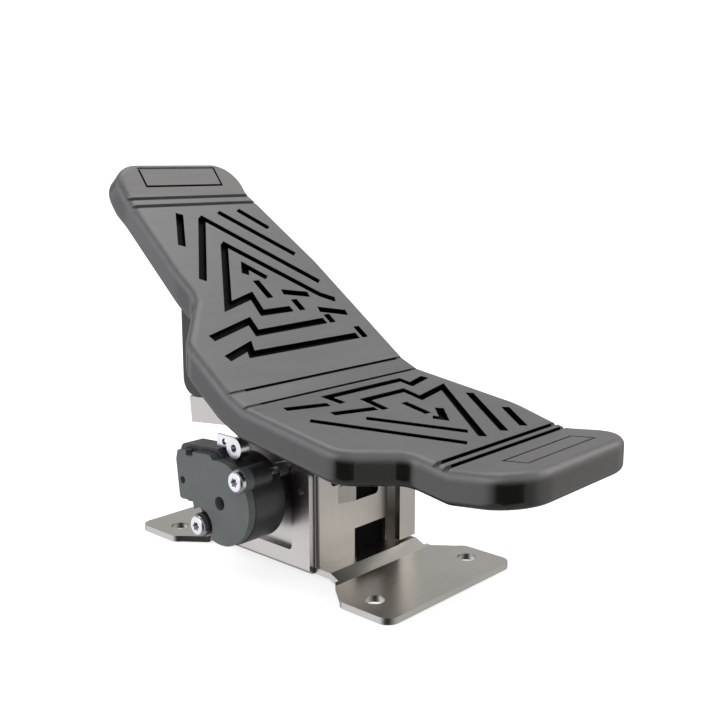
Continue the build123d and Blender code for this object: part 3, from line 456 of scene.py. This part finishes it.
def tread_material():
    """Satin top, smooth walls and grooves, told apart by depth below the top; the grooves and, in
    part, the walls are darkened with painted shade.
    """
    look = bpy.context.scene.pedal_tread
    material, tree, shader = new_material("moulded_tread")
    coordinates = add_node(tree, "ShaderNodeTexCoord")
    place = coordinates.outputs["Object"]
    parts = add_node(tree, "ShaderNodeSeparateXYZ")
    tree.links.new(place, parts.inputs[0])
    across, along, up = parts.outputs

    height = None
    for (foot_y, foot_z), slope_deg in TREAD_SLOPES:
        slope = math.radians(slope_deg)
        level = add_node(tree, "ShaderNodeVectorMath", operation="DOT_PRODUCT")
        tree.links.new(place, level.inputs[0])
        level.inputs[1].default_value = (0.0, -math.sin(slope), math.cos(slope))
        start = -math.sin(slope) * foot_y + math.cos(slope) * foot_z
        above = math_node(tree, "SUBTRACT", level.outputs["Value"], start)
        height = above if height is None else math_node(tree, "MINIMUM", height, above)
    depth = math_node(tree, "MULTIPLY", height, -MM_PER_M)

    inside = None
    for low_x, high_x, low_y, high_y in GROOVE_SHADE_AREAS:
        tests = (
            math_node(tree, "GREATER_THAN", across, low_x),
            math_node(tree, "LESS_THAN", across, high_x),
            math_node(tree, "GREATER_THAN", along, low_y),
            math_node(tree, "LESS_THAN", along, high_y),
        )
        area = tests[0]
        for test in tests[1:]:
            area = math_node(tree, "MULTIPLY", area, test)
        inside = area if inside is None else math_node(tree, "MAXIMUM", inside, area)

    # Painted shade: the grooves are darkened by depth below the top, inside the listed areas, on
    # their floors and steep walls
    sunk = math_node(
        tree, "MULTIPLY", ramp(tree, depth, *GROOVE_FROM), ramp(tree, depth, *GROOVE_UNTIL)
    )
    in_groove = math_node(tree, "MULTIPLY", sunk, inside)
    facing = add_node(tree, "ShaderNodeSeparateXYZ")
    tree.links.new(coordinates.outputs["Normal"], facing.inputs[0])
    steep = ramp(tree, facing.outputs["Z"], *STEEP)
    floor_shade_share = math_node(tree, "MULTIPLY", in_groove, look.groove_floor_shade)
    groove_shade_share = math_node(
        tree, "MAXIMUM", floor_shade_share, math_node(tree, "MULTIPLY", in_groove, steep)
    )

    # Slight clouds of tone and, across the top, streaks of wear
    clouds = noise(tree, place, 28.0, detail=4.0)
    streaks = noise(tree, place, 220.0, detail=3.0, stretch=(0.12, 1.0, 1.0))
    tone = mix_colours(
        tree, ramp(tree, clouds, 0.35, 0.65), darker(look.top_colour, 0.93), look.top_colour
    )
    tone = mix_colours(
        tree, ramp(tree, streaks, 0.40, 0.66, 0.0, 0.35), tone, darker(look.top_colour, 0.72)
    )
    # The side walls take a far darker, olive colour than the top: partly their own colour, partly
    # painted shade
    on_wall = ramp(tree, depth, *WALL_FROM)
    walls = mix_colours(tree, clouds, darker(look.shaded_wall_colour, 0.82), look.shaded_wall_colour)
    outside = mix_colours(tree, on_wall, tone, walls)
    # Painted shade: the grooves take the near black groove colour
    colour = mix_colours(tree, groove_shade_share, outside, look.groove_shade_colour)
    tree.links.new(colour, shader.inputs["Base Color"])

    polish = ramp(tree, on_wall, 0.0, 1.0, look.top_roughness, look.wall_roughness)
    scuffs = uneven(tree, clouds, middle=0.0, spread=0.10)
    dull = math_node(tree, "ADD", polish, scuffs)
    rough = math_node(tree, "MULTIPLY_ADD", groove_shade_share, GROOVE_DULLNESS, dull)
    tree.links.new(rough, shader.inputs["Roughness"])
    shader.inputs["Specular IOR Level"].default_value = look.gloss
    # Painted shade in the grooves: a black metal share takes away their plastic sheen
    tree.links.new(groove_shade_share, shader.inputs["Metallic"])

    grain = noise(tree, place, 1.0 / look.grain_size, detail=2.0)
    bump(tree, shader, grain, depth=0.00002, strength=0.3)
    return material


def brushed_material(name, colour, roughness, stretch, contrast):
    """Brushed metal whose streaks run along the axis with the smallest stretch."""
    look = bpy.context.scene.pedal_metal
    material, tree, shader = new_material(name)
    place = add_node(tree, "ShaderNodeTexCoord").outputs["Object"]
    # A streak is a fortieth of its length wide
    fine = noise(tree, place, 40.0 / look.brush_length, detail=4.0, stretch=stretch)
    broad = noise(tree, place, 24.0, detail=2.0)
    streaked = mix_colours(
        tree, ramp(tree, fine, 0.3, 0.7), darker(colour, 1.0 - contrast), colour
    )
    smudged = mix_colours(
        tree, ramp(tree, broad, 0.42, 0.70, 0.0, 0.30), streaked, darker(colour, 0.80)
    )
    tree.links.new(smudged, shader.inputs["Base Color"])
    shader.inputs["Metallic"].default_value = 1.0
    worn = uneven(tree, broad, roughness, spread=0.16)
    rough = math_node(tree, "MULTIPLY_ADD", fine, 0.12, worn)
    tree.links.new(rough, shader.inputs["Roughness"])
    bump(tree, shader, fine, depth=0.00001, strength=0.25)
    return material


def turned_metal_material(name, colour, roughness, grain=900.0):
    """Machined, plated or cast metal with a fine even grain."""
    material, tree, shader = new_material(name)
    place = add_node(tree, "ShaderNodeTexCoord").outputs["Object"]
    grains = noise(tree, place, grain)
    patches = noise(tree, place, 90.0, detail=2.0)
    tone = mix_colours(tree, ramp(tree, patches, 0.3, 0.7), darker(colour, 0.86), colour)
    tree.links.new(tone, shader.inputs["Base Color"])
    shader.inputs["Metallic"].default_value = 1.0
    rough = uneven(tree, grains, roughness, spread=0.16)
    tree.links.new(rough, shader.inputs["Roughness"])
    bump(tree, shader, grains, depth=0.00003, strength=0.4)
    return material


def plastic_material(name, colour, roughness, grain=1100.0, grain_depth=0.00005, gloss=0.5):
    """Moulded plastic or rubber with a fine grain and slight clouds of tone."""
    material, tree, shader = new_material(name)
    place = add_node(tree, "ShaderNodeTexCoord").outputs["Object"]
    grains = noise(tree, place, grain)
    patches = noise(tree, place, 60.0)
    tone = mix_colours(tree, ramp(tree, patches, 0.3, 0.7), darker(colour, 0.85), colour)
    tree.links.new(tone, shader.inputs["Base Color"])
    rough = uneven(tree, patches, roughness, spread=0.14)
    tree.links.new(rough, shader.inputs["Roughness"])
    shader.inputs["Specular IOR Level"].default_value = gloss
    bump(tree, shader, grains, grain_depth, strength=0.5)
    return material


def give(material, *nodes):
    """Puts the material on these CAD nodes in place of their own."""
    for name in nodes:
        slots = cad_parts[name].data.materials
        slots.clear()
        slots.append(material)


# Modelling helpers


def start_fresh():
    """Leaves edit mode with nothing selected."""
    if bpy.context.object and bpy.context.object.mode != "OBJECT":
        bpy.ops.object.mode_set(mode="OBJECT")
    bpy.ops.object.select_all(action="DESELECT")


def select_in_edit(piece, kind, test):
    """Selects the vertices or faces of the piece for which the test holds."""
    bpy.ops.mesh.select_all(action="DESELECT")
    bpy.ops.object.mode_set(mode="OBJECT")
    members = piece.data.vertices if kind == "VERT" else piece.data.polygons
    for member in members:
        member.select = bool(test(member))
    bpy.ops.object.mode_set(mode="EDIT")
    bpy.ops.mesh.select_mode(type=kind)


def settle(piece):
    """Moves the piece's place into its mesh, so that its object sits at the origin."""
    start_fresh()
    piece.select_set(True)
    bpy.context.view_layer.objects.active = piece
    bpy.ops.object.transform_apply(location=True, rotation=True, scale=True)


def aim(place, target):
    """Turn that points a light at the target."""
    return (Vector(target) - Vector(place)).to_track_quat("-Z", "Y").to_euler()


# Operators


class PEDAL_OT_stage(bpy.types.Operator):
    """Adds the camera, the pale sweep and the soft lights"""

    bl_idname = "pedal.stage"
    bl_label = "Stage"

    def execute(self, context):
        stage = context.scene.pedal_stage
        context.scene.view_settings.view_transform = "Standard"
        start_fresh()
        bpy.ops.object.camera_add(
            location=stage.camera_place,
            rotation=(math.pi / 2 - stage.camera_dip, 0.0, stage.camera_turn),
        )
        camera = context.object
        camera.name = "photo_camera"
        camera.data.lens = stage.lens
        camera.data.sensor_width = 36.0
        camera.data.clip_start = 0.01
        context.scene.camera = camera

        self.add_sweep(context, stage)
        self.add_lights(context, stage)
        self.light_room(context, stage)
        return {"FINISHED"}

    def add_sweep(self, context, stage):
        """Round floor that curves up into a wall on every side."""
        start_fresh()
        bpy.ops.mesh.primitive_circle_add(
            vertices=SWEEP_SIDES,
            radius=stage.sweep_radius,
            fill_type="NGON",
            location=(pedal_middle.x, pedal_middle.y, -FLOOR_DROP),
        )
        sweep = context.object
        sweep.name = "sweep"
        bpy.ops.object.mode_set(mode="EDIT")
        bpy.ops.mesh.select_mode(type="EDGE")
        bpy.ops.mesh.select_all(action="SELECT")
        radius = stage.sweep_radius
        for step in range(SWEEP_STEPS):
            before = math.pi / 2 * step / SWEEP_STEPS
            after = math.pi / 2 * (step + 1) / SWEEP_STEPS
            rise = SWEEP_CURVE * (math.cos(before) - math.cos(after))
            reach = radius + SWEEP_CURVE * (math.sin(after) - math.sin(before))
            bpy.ops.mesh.extrude_region_move(TRANSFORM_OT_translate={"value": (0, 0, rise)})
            bpy.ops.transform.resize(value=(reach / radius, reach / radius, 1.0))
            radius = reach
        bpy.ops.object.mode_set(mode="OBJECT")
        bpy.ops.object.shade_smooth()
        material, tree, shader = new_material("pale_sweep")
        place = add_node(tree, "ShaderNodeTexCoord").outputs["Object"]
        paper = noise(tree, place, 30.0)
        tone = mix_colours(
            tree, paper, darker(stage.sweep_colour, 0.985), tuple(stage.sweep_colour)
        )
        tree.links.new(tone, shader.inputs["Base Color"])
        shader.inputs["Roughness"].default_value = 0.9
        shader.inputs["Specular IOR Level"].default_value = 0.1
        shader.inputs["Emission Color"].default_value = (1.0, 1.0, 1.0, 1.0)
        shader.inputs["Emission Strength"].default_value = stage.sweep_glow
        sweep.data.materials.append(material)
        sweep.visible_glossy = False

    def add_lights(self, context, stage):
        """Soft boxes overhead, on the sensor side and at the heel end."""
        # Name, place and size in metres, power
        boxes = (
            ("top_light", (0.25, 0.35, 1.25), 1.1, stage.top_power),
            ("left_light", (-1.25, 0.15, 0.55), 0.9, stage.left_power),
            ("front_light", (0.55, -1.20, 0.60), 0.8, stage.front_power),
        )
        for name, place, size, power in boxes:
            start_fresh()
            bpy.ops.object.light_add(
                type="AREA", location=place, rotation=aim(place, pedal_middle)
            )
            light = context.object
            light.name = name
            light.data.size = size
            light.data.energy = power

    def light_room(self, context, stage):
        """Dim room with four lit parts and an unlit one, which the pedal mirrors."""
        room = bpy.data.worlds.new("room")
        room.use_nodes = True
        tree = room.node_tree
        background = tree.nodes["Background"]
        direction = add_node(tree, "ShaderNodeTexCoord").outputs["Generated"]
        colour = tuple(stage.room_colour)
        # Direction of its middle, cosine of the turn away from it where it starts and
        # where it is full, light
        walls = (
            ((-0.69, 0.70, -0.12), 0.60, 0.92, stage.side_glow),
            ((0.69, -0.70, -0.10), 0.60, 0.92, stage.front_glow),
            ((0.70, 0.66, 0.27), 0.66, 0.95, stage.back_glow),
            ((0.68, -0.39, 0.62), 0.88, 0.96, stage.window_glow),
            ((-0.78, -0.60, -0.15), 0.80, 0.90, stage.dark_colour),
        )
        for middle, edge, full, glow in walls:
            nearness = add_node(tree, "ShaderNodeVectorMath", operation="DOT_PRODUCT")
            tree.links.new(direction, nearness.inputs[0])
            nearness.inputs[1].default_value = middle
            share = ramp(tree, nearness.outputs["Value"], edge, full)
            colour = mix_colours(tree, share, colour, tuple(glow))
        tree.links.new(colour, background.inputs["Color"])
        background.inputs["Strength"].default_value = 1.0
        context.scene.world = room


class PEDAL_OT_tread(bpy.types.Operator):
    """Finishes the moulded tread and the block below it"""

    bl_idname = "pedal.tread"
    bl_label = "Tread"

    def execute(self, context):
        give(tread_material(), "tread_pad")
        block = plastic_material("black_block", (0.012, 0.012, 0.013), roughness=0.40)
        give(block, "tread_block")
        return {"FINISHED"}


class PEDAL_OT_brackets(bpy.types.Operator):
    """Finishes the folded sheet metal"""

    bl_idname = "pedal.brackets"
    bl_label = "Brackets"

    def execute(self, context):
        look = context.scene.pedal_metal
        colour = tuple(look.stainless_colour)
        level = brushed_material(
            "brushed_base",
            colour,
            look.stainless_roughness,
            stretch=(0.03, 1.0, 1.0),
            contrast=0.07,
        )
        upright = brushed_material(
            "brushed_inner",
            colour,
            look.stainless_roughness + 0.04,
            stretch=(1.0, 1.0, 0.04),
            contrast=0.06,
        )
        give(level, "base_bracket", "treadle_bracket")
        give(upright, "inner_bracket")
        # Painted shade: the guard behind the openings is made near black and nearly without sheen,
        # so that they read dark inside
        guard = plastic_material(
            "painted_shade_guard", (0.004, 0.004, 0.004), roughness=0.85, gloss=0.1
        )
        give(guard, "inner_guard")
        return {"FINISHED"}


class PEDAL_OT_running_parts(bpy.types.Operator):
    """Finishes the shaft, yoke, bushings, springs and stops"""

    bl_idname = "pedal.running_parts"
    bl_label = "Running parts"

    def execute(self, context):
        look = context.scene.pedal_metal
        plated = turned_metal_material(
            "plated_steel", tuple(look.plated_colour), roughness=0.32
        )
        give(
            plated,
            "foot_rivets",
            "stop_pins",
            "spring_seats",
            "spring_guides",
            "sensor_spacers",
            "pivot_yoke",
            "yoke_bolts",
            "tread_screws",
            "pivot_shaft",
        )
        dark_steel = turned_metal_material(
            "spring_steel", (0.20, 0.20, 0.21), roughness=0.30
        )
        give(dark_steel, "spring_heel", "spring_toe", "retaining_ring")
        bronze = turned_metal_material(
            "bronze", (0.46, 0.28, 0.13), roughness=0.38, grain=1400.0
        )
        give(bronze, "bushing_left", "bushing_right", "thrust_washers")
        rubber = plastic_material(
            "black_rubber",
            (0.010, 0.010, 0.010),
            roughness=0.75,
            grain=1600.0,
            grain_depth=0.00008,
        )
        give(rubber, "stop_sleeves")
        for node in ("spring_heel", "spring_toe"):
            self.add_spring(context, node, dark_steel)
        return {"FINISHED"}

    def add_spring(self, context, node, steel):
        """A coil that stands on the base."""
        size = context.scene.pedal_spring
        low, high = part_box(node)
        middle = (low + high) / 2
        wire = size.wire_radius
        foot = Vector((middle.x, middle.y, low.z + wire))
        coil_radius = (high.x - low.x) / 2 - wire
        start_fresh()
        bpy.ops.mesh.primitive_circle_add(vertices=WIRE_SIDES, radius=wire, location=foot)
        coil = context.object
        coil.name = node + "_coil"
        bpy.ops.object.mode_set(mode="EDIT")
        bpy.ops.mesh.select_all(action="SELECT")
        bpy.ops.transform.rotate(value=math.pi / 2, orient_axis="X", center_override=foot)
        bpy.ops.transform.translate(value=(coil_radius, 0.0, 0.0))
        bpy.ops.object.mode_set(mode="OBJECT")
        bpy.ops.object.modifier_add(type="SCREW")
        screw = coil.modifiers[-1]
        screw.axis = "Z"
        screw.iterations = size.turns
        screw.screw_offset = (high.z - low.z - 2 * wire) / size.turns
        screw.steps = size.steps
        screw.render_steps = size.steps
        bpy.ops.object.modifier_apply(modifier=screw.name)
        bpy.ops.object.mode_set(mode="EDIT")
        bpy.ops.mesh.select_all(action="SELECT")
        bpy.ops.mesh.fill_holes(sides=0)
        bpy.ops.mesh.select_all(action="SELECT")
        bpy.ops.mesh.normals_make_consistent(inside=False)
        bpy.ops.object.mode_set(mode="OBJECT")
        bpy.ops.object.shade_smooth_by_angle(angle=math.radians(50.0))
        settle(coil)
        coil.data.materials.append(steel)
        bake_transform(coil)
        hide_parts(node)


class PEDAL_OT_sensor(bpy.types.Operator):
    """Finishes the angle sensor and its clip"""

    bl_idname = "pedal.sensor"
    bl_label = "Sensor"

    def execute(self, context):
        look = context.scene.pedal_sensor
        metal = context.scene.pedal_metal
        cover = plastic_material("slate_cover", tuple(look.cover_colour), roughness=0.52)
        give(cover, "sensor_cover")
        housing = plastic_material(
            "black_housing", tuple(look.housing_colour), roughness=0.36
        )
        give(housing, "sensor_housing")
        rotor = plastic_material("black_rotor", (0.015, 0.015, 0.016), roughness=0.45)
        give(rotor, "sensor_rotor")
        brass = turned_metal_material("contact_brass", (0.62, 0.44, 0.16), roughness=0.25)
        give(brass, "plug_contacts")
        zinc = turned_metal_material(
            "bright_zinc", tuple(metal.zinc_colour), roughness=0.26, grain=1300.0
        )
        give(zinc, "cable_clip", "sensor_screws")
        self.add_screws(context, look, zinc)
        return {"FINISHED"}

    def add_screws(self, context, look, zinc):
        """Two button screws with a six lobed recess, modelled once and copied."""
        low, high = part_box("sensor_screws")
        head_end = low.x
        radius = look.head_radius
        heel = Vector((head_end, low.y + radius, high.z - radius))
        toe = Vector((head_end, high.y - radius, low.z + radius))
        shank_length = high.x - low.x - look.head_height
        start_fresh()
        bpy.ops.mesh.primitive_cylinder_add(
            vertices=HEAD_SIDES,
            radius=radius,
            depth=look.head_height,
            location=(heel.x + look.head_height / 2, heel.y, heel.z),
            rotation=(0.0, math.pi / 2, 0.0),
        )
        screw = context.object
        screw.name = "sensor_screw_heel"
        settle(screw)
        bpy.ops.object.mode_set(mode="EDIT")
        # Dome the rim of the head
        dome = look.head_height * DOME_SHARE
        select_in_edit(screw, "VERT", lambda v: v.co.x < head_end + PICK_SLACK)
        bpy.ops.mesh.bevel(offset=dome, segments=6, profile=0.5)
        # Sink the recess from the flat face of the head, the one with many corners
        select_in_edit(screw, "FACE", lambda f: f.normal.x < -0.99 and len(f.vertices) > 20)
        bpy.ops.mesh.inset(thickness=radius - dome - look.recess_radius)
        bpy.ops.mesh.extrude_region_move(
            TRANSFORM_OT_translate={"value": (look.recess_depth, 0.0, 0.0)}
        )

        def in_a_flute(vertex):
            """Whether a vertex of the recess lies between two lobes."""
            offset = Vector((vertex.co.y - heel.y, vertex.co.z - heel.z))
            turn = math.atan2(offset.y, offset.x) * look.lobes / math.tau
            between = abs(turn - round(turn)) > FLUTE_START
            return between and offset.length < look.recess_radius * PICK_SHARE

        select_in_edit(screw, "VERT", in_a_flute)
        bpy.ops.transform.resize(
            value=(1.0, FLUTE_WAIST, FLUTE_WAIST), center_override=heel
        )
        # Draw the shank out of the back of the head
        select_in_edit(screw, "FACE", lambda f: f.normal.x > 0.99 and f.area > radius * radius)
        bpy.ops.mesh.inset(thickness=radius - look.shank_radius)
        bpy.ops.mesh.extrude_region_move(
            TRANSFORM_OT_translate={"value": (shank_length, 0.0, 0.0)}
        )
        bpy.ops.mesh.select_all(action="SELECT")
        bpy.ops.mesh.normals_make_consistent(inside=False)
        bpy.ops.object.mode_set(mode="OBJECT")
        bpy.ops.object.shade_smooth_by_angle(angle=math.radians(35.0))
        screw.data.materials.append(zinc)

        start_fresh()
        screw.select_set(True)
        context.view_layer.objects.active = screw
        bpy.ops.object.duplicate(linked=False)
        twin = context.object
        twin.name = "sensor_screw_toe"
        bpy.ops.transform.translate(value=toe - heel)
        settle(twin)
        for piece in (screw, twin):
            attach(piece, "base")
        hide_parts("sensor_screws")


class PEDAL_PT_panel(bpy.types.Panel):
    """Lists the steps that dress the pedal"""

    bl_idname = "PEDAL_PT_panel"
    bl_label = "Rocker foot pedal"
    bl_space_type = "VIEW_3D"
    bl_region_type = "UI"
    bl_category = "Pedal"

    def draw(self, context):
        for step in STEPS:
            self.layout.operator(step.bl_idname)


STEPS = (
    PEDAL_OT_stage,
    PEDAL_OT_tread,
    PEDAL_OT_brackets,
    PEDAL_OT_running_parts,
    PEDAL_OT_sensor,
)
GROUPS = {
    "pedal_stage": StageSettings,
    "pedal_tread": TreadSettings,
    "pedal_metal": MetalSettings,
    "pedal_spring": SpringSettings,
    "pedal_sensor": SensorSettings,
}


def register():
    """Registers the settings, the steps and the panel."""
    for name, group in GROUPS.items():
        bpy.utils.register_class(group)
        setattr(bpy.types.Scene, name, PointerProperty(type=group))
    for step in STEPS:
        bpy.utils.register_class(step)
    bpy.utils.register_class(PEDAL_PT_panel)


def unregister():
    """Undoes register."""
    bpy.utils.unregister_class(PEDAL_PT_panel)
    for step in reversed(STEPS):
        bpy.utils.unregister_class(step)
    for name, group in GROUPS.items():
        delattr(bpy.types.Scene, name)
        bpy.utils.unregister_class(group)


def main():
    """Dresses the pedal."""
    register()
    bpy.ops.pedal.stage()
    bpy.ops.pedal.tread()
    bpy.ops.pedal.brackets()
    bpy.ops.pedal.running_parts()
    bpy.ops.pedal.sensor()


if __name__ == "__main__":
    main()
